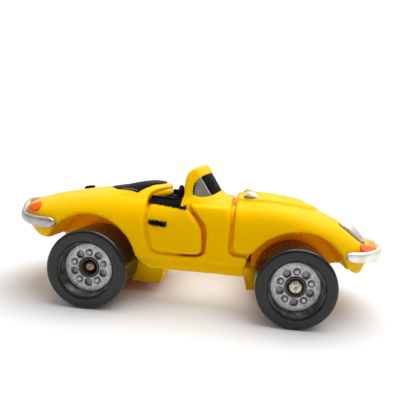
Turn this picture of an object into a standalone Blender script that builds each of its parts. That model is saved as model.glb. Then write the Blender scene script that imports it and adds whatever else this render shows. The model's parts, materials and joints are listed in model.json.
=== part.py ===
"""Pull-back toy roadster: body panels, cabin, wheels, axles and spring motor as separate solids.

Axes: +X forward, +Y to the car's left, +Z up. The origin is on the ground under the middle of the car.
All sizes below are in millimetres; main() turns the finished pieces into metres.
"""
import math

import bmesh
import bpy
from mathutils import Matrix, Vector

MM = 0.001

# Whole car
LENGTH = 83.8
REAR_OVERHANG = 21.35
WHEELBASE = 41.0
REAR_X = -LENGTH / 2 + REAR_OVERHANG
FIT = 0.3                     # gap between neighbouring mouldings
WALL = 1.3                    # thickness of the body mouldings

# Wheels
TYRE_R = 7.9
TYRE_WIDTH = 8.2
TRACK_FACE = 17.0             # outer face of the tyres, from the centre line
TYRE_SHOULDER = 0.8
HUB_R = 5.45
HUB_DISC_DEPTH = 1.7          # how far the hub's disc lies behind the tyre's face
HUB_HOLES = 5
HUB_PITCH_R = 0.39 * TYRE_R
HUB_HOLE_R = 0.75
HUB_NUB_R = 0.6
BUSH_R = 2.1
AXLE_R = 1.3
AXLE_END_DEPTH = 2.75         # how far the axle's end lies behind the tyre's face
AXLE_Z = TYRE_R

# Body
BODY_END = -20.4              # tail and nose of the body, from the rear axle
BODY_NOSE = 61.2
TAIL_ROUND_START = -7.0       # where the plan begins to round in
NOSE_ROUND_START = 46.0
SILL_Z = 8.9
REAR_ARCH = (-0.7, 9.0, 9.5)  # centre x from the rear axle, centre z, radius
FRONT_ARCH = (41.3, 8.2, 10.3)
WELL_WALL_Y = 7.1             # inner face of the wheel wells' inner wall
RIM_Z = 22.2                  # height of the cockpit's rim
COCKPIT_X = (10.0, 20.2)
COCKPIT_Y = 10.3
HOOD_X = 28.0
HOOD_LOWER_Z = 12.9
STEP_END_X = 32.0

# Chassis and motor
CHASSIS_Z = 8.5
PLATE_T = 0.9
PLATE_Y = 11.4
BOX_Y = 6.85                  # half width of the chassis boxes between the wheels
REAR_BOX_Z = 2.6
FRONT_BOX_Z = 2.9
CASE_Y = 5.95
CASE_WALL = 0.7
GEAR_MODULE = 0.45
WHEEL_TEETH = 20
PINION_TEETH = 10
GEAR_ANGLE = math.radians(21)
ARBOR_R = 0.6
SCREW_X = 16.4
SCREW_Y = 6.0
SCREW_R = 0.65

YELLOW = ("yellow_plastic", (0.95, 0.62, 0.01), 0.28, 0.0)
YELLOW_BASE = ("chassis_plastic", (0.80, 0.50, 0.01), 0.35, 0.0)
BLACK_PAINT = ("black_paint", (0.01, 0.01, 0.01), 0.30, 0.0)
BLACK_PLASTIC = ("black_plastic", (0.02, 0.02, 0.02), 0.40, 0.0)
TYRE_RUBBER = ("tyre_rubber", (0.02, 0.02, 0.02), 0.45, 0.0)
HUB_SILVER = ("hub_silver", (0.38, 0.38, 0.40), 0.40, 0.6)
CHROME = ("silver_trim", (0.80, 0.80, 0.78), 0.20, 0.9)
CLEAR = ("clear_lens", (0.85, 0.86, 0.88), 0.08, 0.0)
GLASS = ("dark_glass", (0.02, 0.02, 0.02), 0.08, 0.0)
ORANGE = ("orange_lamp", (0.90, 0.16, 0.01), 0.30, 0.0)
STEEL = ("steel", (0.60, 0.58, 0.55), 0.30, 1.0)
WHITE_GEAR = ("gear_nylon", (0.85, 0.84, 0.78), 0.50, 0.0)


# ---------------------------------------------------------------- helpers

def clear_scene():
    for obj in list(bpy.data.objects):
        bpy.data.objects.remove(obj, do_unlink=True)


def material(spec):
    name, colour, roughness, metallic = spec
    found = bpy.data.materials.get(name)
    if found:
        return found
    mat = bpy.data.materials.new(name)
    mat.use_nodes = True
    shader = mat.node_tree.nodes["Principled BSDF"]
    shader.inputs["Base Color"].default_value = (*colour, 1.0)
    shader.inputs["Roughness"].default_value = roughness
    shader.inputs["Metallic"].default_value = metallic
    return mat


def mesh_object(name, verts, faces, spec=None, smooth=True):
    """One object from points in millimetres, measured from the rear axle's x."""
    mesh = bpy.data.meshes.new(name)
    mesh.from_pydata([(x + REAR_X, y, z) for x, y, z in verts], [], faces)
    bm = bmesh.new()
    bm.from_mesh(mesh)
    bmesh.ops.recalc_face_normals(bm, faces=bm.faces)
    bm.to_mesh(mesh)
    bm.free()
    if smooth:
        mesh.shade_smooth()
        mesh.set_sharp_from_angle(angle=math.radians(35))
    obj = bpy.data.objects.new(name, mesh)
    bpy.context.scene.collection.objects.link(obj)
    if spec:
        mesh.materials.append(material(spec))
    return obj


def combine(target, other, operation):
    """Applies a Boolean to target and removes the other object."""
    mod = target.modifiers.new(operation.lower(), "BOOLEAN")
    mod.operation = operation
    mod.solver = "EXACT"
    mod.use_self = True
    mod.object = other
    evaluated = target.evaluated_get(bpy.context.evaluated_depsgraph_get())
    mesh = bpy.data.meshes.new_from_object(evaluated)
    target.modifiers.clear()
    target.data = mesh
    bpy.data.objects.remove(other, do_unlink=True)
    return target


def cut(target, other):
    return combine(target, other, "DIFFERENCE")


def join(target, other):
    return combine(target, other, "UNION")


def keep(target, other):
    return combine(target, other, "INTERSECT")


def duplicate(obj, name):
    copy = bpy.data.objects.new(name, obj.data.copy())
    bpy.context.scene.collection.objects.link(copy)
    return copy


def finish(obj, name, spec):
    """Names a finished piece, gives it its material and smooth shading."""
    obj.name = name
    obj.data.name = name
    obj.data.materials.clear()
    obj.data.materials.append(material(spec))
    obj.data.shade_smooth()
    obj.data.set_sharp_from_angle(angle=math.radians(35))
    return obj


def rings_object(name, rings, spec=None, closed=False):
    """A solid skinned over rings of equal length, with its two ends capped."""
    count = len(rings[0])
    verts = [point for ring in rings for point in ring]
    faces = []
    spans = len(rings) if closed else len(rings) - 1
    for i in range(spans):
        a = i * count
        b = ((i + 1) % len(rings)) * count
        for j in range(count):
            k = (j + 1) % count
            faces.append((a + j, a + k, b + k, b + j))
    if not closed:
        faces.append(tuple(range(count)))
        faces.append(tuple(range(len(verts) - count, len(verts))))
    return mesh_object(name, verts, faces, spec)


def prism_y(outline, y0, y1, name="cutter", spec=None):
    """An (x, z) outline pushed from y0 to y1."""
    return rings_object(name, [[(x, y, z) for x, z in outline] for y in (y0, y1)], spec)


def prism_z(outline, z0, z1, name="cutter", spec=None):
    """An (x, y) outline pushed from z0 to z1."""
    return rings_object(name, [[(x, y, z) for x, y in outline] for z in (z0, z1)], spec)


def box(x0, x1, y0, y1, z0, z1, name="cutter", spec=None):
    return prism_z([(x0, y0), (x1, y0), (x1, y1), (x0, y1)], z0, z1, name, spec)


def circle(cx, cz, radius, count, start=0.0):
    step = 2 * math.pi / count
    return [(cx + radius * math.cos(start + i * step), cz + radius * math.sin(start + i * step))
            for i in range(count)]


def rod_y(cx, cz, radius, y0, y1, count=24, name="cutter", spec=None):
    return prism_y(circle(cx, cz, radius, count), y0, y1, name, spec)


def turned_y(name, cx, cz, profile, side, spec, count=32):
    """Turns a closed (radius, y) profile about a line along Y; side mirrors it."""
    rings = []
    for i in range(count):
        a = 2 * math.pi * i / count
        rings.append([(cx + r * math.cos(a), side * y, cz + r * math.sin(a)) for r, y in profile])
    return rings_object(name, rings, spec, closed=True)


def smooth_value(table, x):
    """Reads a table of (x, value) as a smooth curve through its points."""
    if x <= table[0][0]:
        return table[0][1]
    if x >= table[-1][0]:
        return table[-1][1]
    i = max(k for k in range(len(table) - 1) if table[k][0] <= x)
    (x0, v0), (x1, v1) = table[i], table[i + 1]

    def slope(k):
        if k == 0 or k == len(table) - 1:
            return (v1 - v0) / (x1 - x0)
        return (table[k + 1][1] - table[k - 1][1]) / (table[k + 1][0] - table[k - 1][0])

    h = x1 - x0
    t = (x - x0) / h
    return ((2 * t**3 - 3 * t**2 + 1) * v0 + (t**3 - 2 * t**2 + t) * h * slope(i)
            + (3 * t**2 - 2 * t**3) * v1 + (t**3 - t**2) * h * slope(i + 1))


# ---------------------------------------------------------------- the body's surface

HALF_WIDTH = [(-7.0, 14.7), (0.0, 15.4), (6.0, 15.1), (11.0, 14.2), (24.0, 14.0), (30.0, 14.3),
              (36.0, 15.2), (42.0, 15.4), (46.0, 14.9)]
TOP_Z = [(-20.4, 18.2), (-18.0, 19.3), (-14.0, 20.8), (-8.0, 22.2), (-2.0, 23.2), (3.0, 23.6),
         (10.0, 23.5), (16.0, 23.4), (22.0, 23.5), (28.0, 23.2), (34.0, 23.4),
         (40.0, 23.0), (46.0, 21.8), (50.0, 20.5), (54.0, 18.3), (58.0, 15.9), (61.2, 13.9)]
BOTTOM_Z = [(-20.4, 17.2), (-17.5, 16.2), (-14.5, 14.0), (-12.0, 12.8), (-9.0, 12.4),
            (-5.0, 10.0), (0.0, SILL_Z), (44.0, SILL_Z), (49.0, 10.6), (54.0, 9.8), (58.0, 10.6),
            (61.2, 12.0)]
MIDDLE_Z = [(-20.4, 17.6), (-14.0, 16.5), (-6.0, 15.0), (8.0, 14.0), (30.0, 13.5), (46.0, 14.0),
            (54.0, 13.5), (61.2, 13.0)]
BOXINESS = [(-20.4, 2.4), (-8.0, 2.8), (8.0, 3.3), (36.0, 3.6), (50.0, 3.0), (61.2, 2.4)]
# Raised areas on the upper surface: start, end, run-in, run-out, half width, height, squareness
BULGE = (29.0, 47.0, 1.5, 2.5, 4.8, 0.9, 4)     # the hood's power bulge
HUMP = (-3.0, 14.0, 9.0, 1.0, 9.6, 2.1, 2.5)    # the folded top behind the seats


def half_width(x):
    if x < TAIL_ROUND_START:
        t = min(1.0, (TAIL_ROUND_START - x) / (TAIL_ROUND_START - BODY_END))
        return HALF_WIDTH[0][1] * (1 - t**2)**0.5
    if x > NOSE_ROUND_START:
        t = min(1.0, (x - NOSE_ROUND_START) / (BODY_NOSE - NOSE_ROUND_START))
        return HALF_WIDTH[-1][1] * (1 - t**1.7)**(1 / 1.7)
    return smooth_value(HALF_WIDTH, x)


def bulge_height(x, y):
    total = 0.0
    for start, end, run_in, run_out, half, height, square in (BULGE, HUMP):
        along = max(0.0, min(1.0, (x - start) / run_in, (end - x) / run_out))
        across = max(0.0, 1 - abs(y / half)**square)
        total += height * along * across
    return total


def body_section(x, grow=0.0, drop=0.0, low=3, high=8):
    """Points (y, z) of the body's cross-section, from the right sill over the top to the left."""
    width = max(0.6, half_width(x) + grow)
    middle = smooth_value(MIDDLE_Z, x)
    top = smooth_value(TOP_Z, x) + grow
    bottom = smooth_value(BOTTOM_Z, x) - drop
    power = 2 / smooth_value(BOXINESS, x)
    side = []
    for i in range(low):
        t = 1 - i / low
        side.append((width * (1 - 0.05 * t * t), middle + (bottom - middle) * t))
    for i in range(high):
        a = math.pi / 2 * i / high
        y = width * math.cos(a)**power
        side.append((y, middle + (top - middle) * math.sin(a)**power + bulge_height(x, y)))
    right = [(-y, z) for y, z in side]
    return right + [(0.0, top + bulge_height(x, 0.0))] + side[::-1]


def surface_z(x, y):
    """Height of the body's upper surface."""
    middle, top = smooth_value(MIDDLE_Z, x), smooth_value(TOP_Z, x)
    power = smooth_value(BOXINESS, x)
    return middle + (top - middle) * (1 - (abs(y) / half_width(x))**power)**(1 / power) + bulge_height(x, y)


def body_stations(inset, count):
    """Station positions along the body, closer together at the two rounded ends."""
    start, end = BODY_END + inset, BODY_NOSE - inset
    stations = []
    for i in range(count):
        t = i / (count - 1)
        eased = t - 0.11 * math.sin(2 * math.pi * t)
        stations.append(start + (end - start) * eased)
    return stations


def body_loft(name, grow, drop, inset, count, low, high):
    rings = []
    for x in body_stations(inset, count):
        rings.append([(x, y, z) for y, z in body_section(x, grow, drop, low, high)])
    return rings_object(name, rings)


def arch_cylinder(arch, extra, y0, side):
    cx, cz, radius = arch
    return rod_y(cx, cz, radius + extra, side * y0, side * 30, 40)


def body_shell():
    """The hollow body before it is split into panels: skin, wheel wells and their inner walls."""
    skin = body_loft("skin", 0.0, 0.0, 0.15, 40, 3, 8)
    hollow = body_loft("hollow", -WALL, 3.0, WALL + 0.4, 26, 2, 6)
    for arch in (REAR_ARCH, FRONT_ARCH):
        for side in (-1, 1):
            cut(hollow, arch_cylinder(arch, 1.0, WELL_WALL_Y, side))
    cut(skin, hollow)
    for arch, axle_x in ((REAR_ARCH, 0.0), (FRONT_ARCH, WHEELBASE)):
        for side in (-1, 1):
            cut(skin, arch_cylinder(arch, 0.0, WELL_WALL_Y + 1.0, side))
        cut(skin, rod_y(axle_x, AXLE_Z, AXLE_R + 0.8, -12, 12, 16))
    return skin


# ---------------------------------------------------------------- outlines of the panels

def door_outline(shrink=0.0):
    s = shrink
    top = RIM_Z + 0.2 - s
    return [(10.4 + s, top), (10.2 + s, 19.0), (11.0 + s, 15.0), (12.0 + s, 12.9),
            (13.2, 12.0 + s), (20.9, 11.9 + s), (22.1 - s, 12.9), (22.1 - s, 16.0), (21.2 - s, 18.2),
            (19.2 - s, 20.4), (18.4 - s, top)]


def tonneau_outline(grow=0.0):
    right = [(-1.3 - grow, -4.6), (3.6, -8.2 - grow), (11.0, -10.3 - grow)]
    return right + [(x, -y) for x, y in right[::-1]]


def ellipse(cx, cy, rx, ry, count=20):
    return [(cx + rx * math.cos(2 * math.pi * i / count), cy + ry * math.sin(2 * math.pi * i / count))
            for i in range(count)]


def lens_outline(side, grow=0.0):
    """Plan of a headlight cover: a teardrop laid along the fender."""
    points = []
    for x, y in ellipse(0, 0, 3.0 + grow, 1.5 + grow, 16):
        points.append((52.2 + x, side * (8.6 + y - 0.22 * x)))
    return points


def band(x0, x1, proud):
    """A slice of the body's skin standing proud of it by the given amount."""
    piece = body_loft("band", proud, 0.0, 0.15, 40, 3, 8)
    cut(piece, body_loft("hollow", -WALL, 3.0, WALL + 0.4, 26, 2, 6))
    return keep(piece, box(x0, x1, -20, 20, 0, 40))


# ---------------------------------------------------------------- body pieces

def hood_region(grow):
    """An L-shaped side outline that holds the hood and the nose."""
    gap = FIT - grow
    outline = [(HOOD_X - FIT + gap, 40), (HOOD_X - FIT + gap, HOOD_LOWER_Z - FIT + gap),
               (STEP_END_X - FIT + gap, HOOD_LOWER_Z - FIT + gap), (STEP_END_X - FIT + gap, 0),
               (70, 0), (70, 40)]
    return prism_y(outline, -30, 30)


def lamp_box(side, grow):
    """Space of a tail lamp, at the rear corner above the bumper."""
    g = grow
    return prism_z([(-18.2 - g, side * (6.4 - g)), (-14.0 + g, side * (8.6 - g)),
                    (-14.0 + g, side * 16), (-18.2 - g, side * 16)], 17.7 - g, 19.4 + g)


def indicator_box(side, grow):
    g = grow
    return prism_z([(55.7 - g, side * (6.2 - g)), (58.4 + g, side * (4.6 - g)),
                    (58.4 + g, side * 14), (55.7 - g, side * 14)], 14.2 - g, 16.0 + g)


def make_panels():
    shell = body_shell()
    hood = keep(duplicate(shell, "hood"), hood_region(0.0))
    body = cut(duplicate(shell, "body"), hood_region(FIT * 2))
    rim = [(COCKPIT_X[0], RIM_Z), (COCKPIT_X[1], RIM_Z), (COCKPIT_X[1] + 0.6, 40), (COCKPIT_X[0], 40)]
    cut(body, prism_y(rim, -20, 20))
    cut(body, box(COCKPIT_X[0], COCKPIT_X[1], -COCKPIT_Y, COCKPIT_Y, 14, 40))
    cut(body, prism_z(tonneau_outline(), 21.5, 40))
    tonneau = keep(band(-2.5, COCKPIT_X[0] - 0.1, 0.0), prism_z(tonneau_outline(-FIT), 21.8, 40))
    finish(tonneau, "tonneau_cover", BLACK_PAINT)
    for side, word in ((-1, "right"), (1, "left")):
        cut(body, prism_y(door_outline(-0.1), side * 11.0, side * 20))
        door = keep(duplicate(shell, "door"), prism_y(door_outline(FIT), side * 11.3, side * 20))
        finish(door, f"door_{word}", YELLOW)
        cut(body, lamp_box(side, 0.0))
        lamp = keep(band(-19.0, -13.0, 0.15), lamp_box(side, -FIT))
        finish(lamp, f"tail_lamp_{word}", ORANGE)
        cut(hood, indicator_box(side, 0.0))
        finish(keep(band(54, 59, 0.15), indicator_box(side, -FIT)), f"indicator_{word}", ORANGE)
        cut(hood, prism_z(lens_outline(side), 14, 30))
        lens = keep(band(48, 57, 0.3), prism_z(lens_outline(side, -FIT), 14, 30))
        finish(lens, f"headlight_cover_{word}", CLEAR)
    finish(body, "body_shell", YELLOW)
    finish(hood, "hood", YELLOW)
    bpy.data.objects.remove(shell, do_unlink=True)


def blade(name, path, heights, thick, spec):
    """A bumper blade carried along a plan path; heights(share) gives its lower and upper edge."""
    rings = []
    for i, (x, y, share) in enumerate(path):
        x0, y0, _ = path[max(0, i - 1)]
        x1, y1, _ = path[min(len(path) - 1, i + 1)]
        along = Vector((x1 - x0, y1 - y0)).normalized()
        out = Vector((along.y, -along.x))
        low, high = heights(share)
        section = ((0.0, low), (thick, low + 0.15), (thick, high - 0.25), (0.0, high))
        rings.append([(x + out.x * o, y + out.y * o, z) for o, z in section])
    return rings_object(name, rings, spec)


def bumper_path(tip, root, half, power, count, ahead):
    """Plan path round one end of the car, flank to flank, as (x, y, share of the way to the tip)."""
    path = []
    for i in range(count + 1):
        a = math.pi * i / count
        c, s = math.cos(a), math.sin(a)
        x = root + (tip - root) * abs(s)**(2 / power)
        y = ahead * -half * math.copysign(abs(c)**(2 / power), c)
        path.append((x, y, s))
    return path


def make_bumpers():
    front = bumper_path(61.95, 50.3, 14.0, 1.8, 26, 1)
    blade("front_bumper", front, lambda s: (13.7 - 1.9 * s * s, 15.3), 0.55, CHROME)
    rear = bumper_path(-20.8, -7.4, 15.0, 2.0, 26, -1)
    blade("rear_bumper", rear, lambda s: (15.5, 17.5 + 1.9 * s**8), 0.55, CHROME)


def make_windshield():
    """Frame and pane: one curved sheet each, raked back and wrapped round to the doors."""
    def base(u):
        a = math.radians(78) * u
        return 16.4 + 6.7 * math.cos(a)**0.7, 10.8 * math.copysign(abs(math.sin(a))**0.9, u)

    def sheet(name, u_range, v_range, hole, out, thick, spec):
        columns, rows = 16, 6
        verts = []
        for layer in (out, out - thick):
            for j in range(rows + 1):
                v = v_range[0] + (v_range[1] - v_range[0]) * j / rows
                for i in range(columns + 1):
                    u = u_range[0] + (u_range[1] - u_range[0]) * i / columns
                    x, y = base(u)
                    rake = 3.3 * v * (1 - 0.6 * abs(u)**3)
                    verts.append((x - rake + layer * math.cos(1.1 * u), y + layer * math.sin(1.1 * u),
                                  23.9 - 0.9 * abs(u)**3 + 5.8 * v - 0.7 * v * abs(u)**4))
        per_layer = (columns + 1) * (rows + 1)
        cells = {(i, j) for i in range(columns) for j in range(rows)
                 if not (hole and hole[0] <= i < hole[1] and hole[2] <= j < hole[3])}
        faces = []
        for i, j in sorted(cells):
            a = j * (columns + 1) + i
            quad = (a, a + 1, a + columns + 2, a + columns + 1)
            faces.append(quad)
            faces.append(tuple(k + per_layer for k in quad[::-1]))
            edges = {(i, j - 1): (quad[0], quad[1]), (i + 1, j): (quad[1], quad[2]),
                     (i, j + 1): (quad[2], quad[3]), (i - 1, j): (quad[3], quad[0])}
            for neighbour, (p, q) in edges.items():
                if neighbour not in cells:
                    faces.append((q, p, p + per_layer, q + per_layer))
        used = sorted({k for face in faces for k in face})
        index = {k: n for n, k in enumerate(used)}
        return mesh_object(name, [verts[k] for k in used],
                           [tuple(index[k] for k in face) for face in faces], spec)

    sheet("windshield_frame", (-1.0, 1.0), (0.0, 1.0), (3, 13, 1, 5), 0.6, 1.4, YELLOW)
    sheet("windshield_pane", (-0.60, 0.60), (0.20, 0.80), None, 0.2, 0.6, GLASS)


def make_cabin():
    x0, x1 = COCKPIT_X
    tub = box(x0 + 0.3, x1 - 0.3, -COCKPIT_Y + 0.3, COCKPIT_Y - 0.3, 16.6, 21.9, "tub")
    cut(tub, box(x0 + 1.1, x1 - 1.1, -COCKPIT_Y + 1.1, COCKPIT_Y - 1.1, 17.4, 30))
    for side in (-1, 1):
        seat = box(x0 + 1.6, x0 + 5.8, side * 1.2, side * 8.6, 17.0, 18.9)
        back = prism_y([(x0 + 0.8, 17.0), (x0 + 3.2, 17.0), (x0 + 2.4, 21.6), (x0 + 0.8, 21.6)],
                       side * 1.2, side * 8.6)
        join(tub, join(seat, back))
    for side in (-1, 1):
        join(tub, rod_z(SCREW_X, side * SCREW_Y, 1.7, CHASSIS_Z + PLATE_T + 0.1, 17.0))
        cut(tub, rod_z(SCREW_X, side * SCREW_Y, SCREW_R + 0.1, 9.0, 15.0))
    finish(tub, "interior_tub", BLACK_PLASTIC)
    wheel = torus(2.6, 0.35)
    join(wheel, box(-2.7, 2.7, -0.3, 0.3, -0.3, 0.3))
    join(wheel, box(-0.3, 0.3, -2.7, 2.7, -0.3, 0.3))
    join(wheel, rod_z(0, 0, 0.45, -3.4, 0.0))
    wheel.data.transform(Matrix.Translation((-REAR_X, 0, 0)))
    tilt = Matrix.Rotation(math.radians(-62), 4, "Y")
    place = Matrix.Translation((15.6 + REAR_X, -5.0, 22.6))
    wheel.data.transform(place @ tilt)
    finish(wheel, "steering_wheel", BLACK_PLASTIC)


def rod_z(cx, cy, radius, z0, z1, count=12, name="cutter", spec=None):
    return prism_z(circle(cx, cy, radius, count), z0, z1, name, spec)


def torus(major, minor, around=20, section=6):
    rings = []
    for i in range(around):
        a = 2 * math.pi * i / around
        rings.append([((major + minor * math.cos(b)) * math.cos(a),
                       (major + minor * math.cos(b)) * math.sin(a), minor * math.sin(b))
                      for b in (2 * math.pi * j / section for j in range(section))])
    return rings_object("torus", rings, closed=True)


def dome(name, cx, cy, z, rx, ry, height, spec):
    """A low oval dome with a flat foot."""
    rings = []
    for scale, rise in ((1.0, 0.0), (0.96, 0.45), (0.75, 0.82), (0.35, 1.0)):
        rings.append([(x, y, z + height * rise) for x, y in ellipse(cx, cy, rx * scale, ry * scale, 14)])
    return rings_object(name, rings, spec)


def make_trim():
    for side, word in ((-1, "right"), (1, "left")):
        dome(f"hood_vent_{word}", 31.8, side * 7.2, surface_z(31.8, 6.2) + 0.05, 1.8, 0.9, 1.3, CHROME)
    cap = body_loft("cap", 0.75, 0.0, 0.15, 40, 3, 8)
    cut(cap, body_loft("below", 0.05, 3.0, 0.1, 40, 3, 8))
    finish(keep(cap, rod_z(-13.2, 5.0, 1.2, 18.0, 24.0, 16)), "fuel_cap", BLACK_PAINT)


# ---------------------------------------------------------------- wheels and axles

def make_wheel(x, side, name):
    face = TRACK_FACE
    inner = face - TYRE_WIDTH
    s = TYRE_SHOULDER
    tyre = [(HUB_R + 0.1, face - 0.3), (HUB_R + 0.3, face), (TYRE_R - s, face),
            (TYRE_R - 0.25, face - 0.25), (TYRE_R, face - s), (TYRE_R, inner + s),
            (TYRE_R - s, inner), (HUB_R + 0.1, inner)]
    turned_y(f"{name}_tyre", x, AXLE_Z, tyre, side, TYRE_RUBBER, 36)
    disc = face - HUB_DISC_DEPTH
    hub = [(HUB_R, face - 0.3), (HUB_R, inner + 0.2), (HUB_R - 0.9, inner + 0.2), (HUB_R - 0.9, disc - 1.6),
           (BUSH_R + 0.1, disc - 1.6), (BUSH_R + 0.1, disc), (HUB_R - 0.6, disc), (HUB_R - 0.3, face - 0.3)]
    hub_piece = turned_y("hub", x, AXLE_Z, hub, side, HUB_SILVER, 24)
    # Five holes take turns with five small raised nubs, one of which is at the top.
    for i in range(2 * HUB_HOLES):
        a = math.radians(90) + math.pi * i / HUB_HOLES
        cx, cz = x + HUB_PITCH_R * math.cos(a), AXLE_Z + HUB_PITCH_R * math.sin(a)
        if i % 2:
            cut(hub_piece, rod_y(cx, cz, HUB_HOLE_R, side * (disc - 0.7), side * (disc + 1), 8))
        else:
            join(hub_piece, rod_y(cx, cz, HUB_NUB_R, side * (disc - 0.5), side * (disc + 0.35), 6))
    finish(hub_piece, f"{name}_hub", HUB_SILVER)
    end = face - AXLE_END_DEPTH
    bush = [(BUSH_R, disc), (BUSH_R, inner - 0.6), (AXLE_R + 0.12, inner - 0.6), (AXLE_R + 0.12, end),
            (BUSH_R - 0.15, disc)]
    turned_y(f"{name}_bush", x, AXLE_Z, bush, side, BLACK_PLASTIC, 14)


def make_axle(name, x):
    end = TRACK_FACE - AXLE_END_DEPTH
    rod_y(x, AXLE_Z, AXLE_R, -end, end, 20, name, STEEL)


# ---------------------------------------------------------------- pull-back motor

def gear_outline(cx, cz, teeth, phase):
    """Straight-sided teeth with backlash, as an (x, z) outline."""
    pitch_r = GEAR_MODULE * teeth / 2
    root, tip = pitch_r - 1.05 * GEAR_MODULE, pitch_r + 0.8 * GEAR_MODULE
    step = 2 * math.pi / teeth
    points = []
    for i in range(teeth):
        mid = phase + i * step
        for radius, share in ((root, -0.30), (tip, -0.12), (tip, 0.12), (root, 0.30)):
            a = mid + share * step
            points.append((cx + radius * math.cos(a), cz + radius * math.sin(a)))
    return points


def gear_centres():
    reach = GEAR_MODULE * (WHEEL_TEETH + PINION_TEETH) / 2
    middle = (reach * math.cos(GEAR_ANGLE), AXLE_Z + reach * math.sin(GEAR_ANGLE))
    spring_angle = GEAR_ANGLE + math.radians(60)
    spring = (reach * math.cos(spring_angle), AXLE_Z + reach * math.sin(spring_angle))
    return middle, spring


def case_outline(inset):
    """Side outline of the motor's case, stepped to stay below the cabin's floor."""
    i = inset
    return [(-4.9 + i, 4.5 + i), (11.9 - i, 4.5 + i), (11.9 - i, 15.9 - i), (7.0 - i, 15.9 - i),
            (6.4 - i, 20.3 - i), (-4.0 + i, 20.3 - i), (-4.9 + i, 19.4 - i)]


def make_motor():
    middle, spring = gear_centres()
    tooth_step = 2 * math.pi / WHEEL_TEETH
    # The drive pinion has a tooth on the centre line to the middle wheel, which has a gap there.
    pinion = prism_y(gear_outline(0, AXLE_Z, PINION_TEETH, GEAR_ANGLE), 3.1, 5.0)
    cut(pinion, rod_y(0, AXLE_Z, AXLE_R + 0.1, 2, 6, 20))
    finish(pinion, "drive_pinion", WHITE_GEAR)
    facing = GEAR_ANGLE + math.pi + tooth_step / 2
    wheel = prism_y(gear_outline(*middle, WHEEL_TEETH, facing), 3.3, 4.8)
    to_spring = math.atan2(spring[1] - middle[1], spring[0] - middle[0])
    join(wheel, prism_y(gear_outline(*middle, PINION_TEETH, to_spring), 0.5, 3.6))
    cut(wheel, rod_y(*middle, ARBOR_R + 0.1, 0, 6, 12))
    finish(wheel, "reduction_gear", WHITE_GEAR)
    drum = prism_y(gear_outline(*spring, WHEEL_TEETH, to_spring + math.pi + tooth_step / 2), 0.7, 2.7)
    join(drum, rod_y(*spring, 1.0, -5.6, 1.0, 12))
    join(drum, rod_y(*spring, 0.6, 2.5, 5.6, 12))
    finish(drum, "spring_gear", WHITE_GEAR)
    rod_y(*middle, ARBOR_R, -5.65, 5.65, 12, "gear_arbor", STEEL)
    make_mainspring(spring)
    for side, word in ((-1, "right"), (1, "left")):
        half = prism_y(case_outline(0.0), side * 0.05, side * CASE_Y)
        cut(half, prism_y(case_outline(CASE_WALL), side * -1, side * (CASE_Y - CASE_WALL)))
        cut(half, rod_y(0, AXLE_Z, AXLE_R + 0.25, side * 4, side * 8, 16))
        cut(half, rod_y(*middle, 0.75, side * 4, side * 8, 12))
        cut(half, rod_y(*spring, 1.15 if side < 0 else 0.75, side * 4, side * 8, 12))
        finish(half, f"motor_case_{word}", BLACK_PLASTIC)


def make_mainspring(centre):
    """Spiral strip wound round the spring gear's arbor."""
    turns, inner, outer = 4.0, 1.25, 4.3
    near, thick, width = -4.6, 0.22, 2.4
    count = 64
    rings = []
    for i in range(count + 1):
        t = i / count
        a = 2 * math.pi * turns * t
        r = inner + (outer - inner) * t
        ring = []
        for dr, y in ((0, near), (thick, near), (thick, near + width), (0, near + width)):
            ring.append((centre[0] + (r + dr) * math.cos(a), y, centre[1] + (r + dr) * math.sin(a)))
        rings.append(ring)
    rings_object("mainspring", rings, STEEL)


# ---------------------------------------------------------------- chassis

def make_chassis():
    plate = prism_z([(-7.4, -BOX_Y), (10.2, -BOX_Y), (10.4, -PLATE_Y), (29.3, -PLATE_Y), (29.6, -BOX_Y),
                     (50.4, -BOX_Y), (50.4, BOX_Y), (29.6, BOX_Y), (29.3, PLATE_Y), (10.4, PLATE_Y),
                     (10.2, BOX_Y), (-7.4, BOX_Y)], CHASSIS_Z, CHASSIS_Z + PLATE_T)
    rear = prism_y([(-6.6, REAR_BOX_Z), (12.4, REAR_BOX_Z), (13.8, CHASSIS_Z + 0.2),
                    (-7.4, CHASSIS_Z + 0.2)], -BOX_Y, BOX_Y)
    join(plate, rear)
    cut(plate, box(-5.1, 12.1, -CASE_Y - 0.15, CASE_Y + 0.15, REAR_BOX_Z + 0.7, 20))
    front = prism_y([(32.0, FRONT_BOX_Z), (49.2, FRONT_BOX_Z + 1.6), (50.4, CHASSIS_Z + 0.2),
                     (30.3, CHASSIS_Z + 0.2)], -BOX_Y, BOX_Y)
    join(plate, front)
    cut(plate, box(33.4, 47.6, -BOX_Y + 1.2, BOX_Y - 1.2, FRONT_BOX_Z + 2.4, 20))
    for x in (0.0, WHEELBASE):
        cut(plate, rod_y(x, AXLE_Z, AXLE_R + 0.2, -10, 10, 20))
    for side in (-1, 1):
        cut(plate, rod_z(SCREW_X, side * SCREW_Y, SCREW_R + 0.2, 0, 20))
    finish(plate, "chassis", YELLOW_BASE)


def make_screws():
    for side, word in ((-1, "right"), (1, "left")):
        screw = rod_z(SCREW_X, side * SCREW_Y, 1.5, CHASSIS_Z - 1.0, CHASSIS_Z - 0.1, 12)
        join(screw, rod_z(SCREW_X, side * SCREW_Y, SCREW_R, CHASSIS_Z - 0.5, 14.0, 10))
        finish(screw, f"chassis_screw_{word}", STEEL)


def put_origin_on_axis(names, x, z):
    """Moves the origin of each turning piece onto its hinge axis."""
    offset = Vector((REAR_X + x, 0, z)) * MM
    for name in names:
        obj = bpy.data.objects[name]
        obj.data.transform(Matrix.Translation(-offset))
        obj.location = offset


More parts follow.
